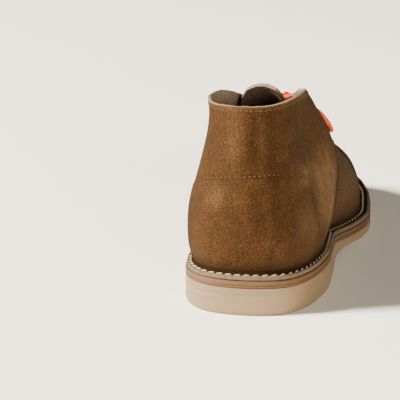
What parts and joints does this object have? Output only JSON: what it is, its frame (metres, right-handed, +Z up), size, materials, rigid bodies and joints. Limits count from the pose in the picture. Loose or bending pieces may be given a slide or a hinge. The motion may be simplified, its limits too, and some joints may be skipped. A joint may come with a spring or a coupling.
{
  "type": "chukka boot",
  "caption": "Ankle-high right boot with a hollow suede upper, low collar, laced throat over a tongue, turned-out stitched flange, leather midsole and wedge rubber outsole.",
  "frame": {"origin": "on the floor, in the middle of the boot's bounding box", "axes": "+Z up, +Y towards the toe, +X towards the outer (lateral) side of the right foot"},
  "size_m": [0.101, 0.295, 0.1121],
  "materials": {
    "outsole_rubber": "cream, slightly translucent, smooth sides",
    "midsole_leather": "vegetable-tanned, cut edge",
    "insole_leather": "natural, matte",
    "suede": "tan-brown suede with a short nap",
    "tongue_leather": "beige flesh side and cut edge",
    "lace_cord": "round braided cord, orange-red"
  },
  "bodies": {
    "root": {"outsole": "outsole_rubber", "midsole": "midsole_leather", "insole": "insole_leather", "upper": "suede", "tongue": "tongue_leather", "lace": "lace_cord", "lace_knot": "lace_cord", "lace_loop_lateral": "lace_cord", "lace_loop_medial": "lace_cord", "lace_end_lateral": "lace_cord", "lace_end_medial": "lace_cord"}
  },
  "joints": []
}
